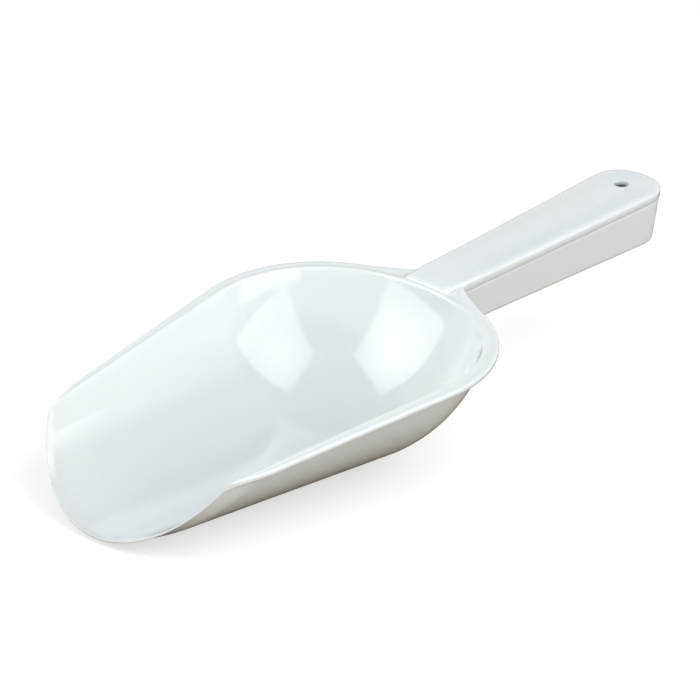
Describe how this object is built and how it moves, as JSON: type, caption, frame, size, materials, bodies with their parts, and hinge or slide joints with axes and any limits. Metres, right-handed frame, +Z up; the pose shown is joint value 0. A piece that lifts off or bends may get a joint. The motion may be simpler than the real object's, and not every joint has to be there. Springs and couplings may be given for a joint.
{
  "type": "ice scoop",
  "caption": "Ice scoop with an open-nosed trough bowl, a rim flange and a hollow handle with a hanging hole; the handle is closed from below by a pegged grip shell",
  "frame": {"origin": "centre of the bounding box in plan, on the level that the underside of the bowl rests on", "axes": "+X along the scoop from the nose to the end of the handle, +Y to the left, +Z up with the underside of the bowl level"},
  "size_m": [0.2584, 0.1056, 0.0576],
  "materials": {
    "body_plastic": "glossy bluish-white moulded plastic",
    "shell_plastic": "satin off-white moulded plastic"
  },
  "bodies": {
    "root": {"scoop_body": "body_plastic", "grip_shell": "shell_plastic"}
  },
  "joints": []
}
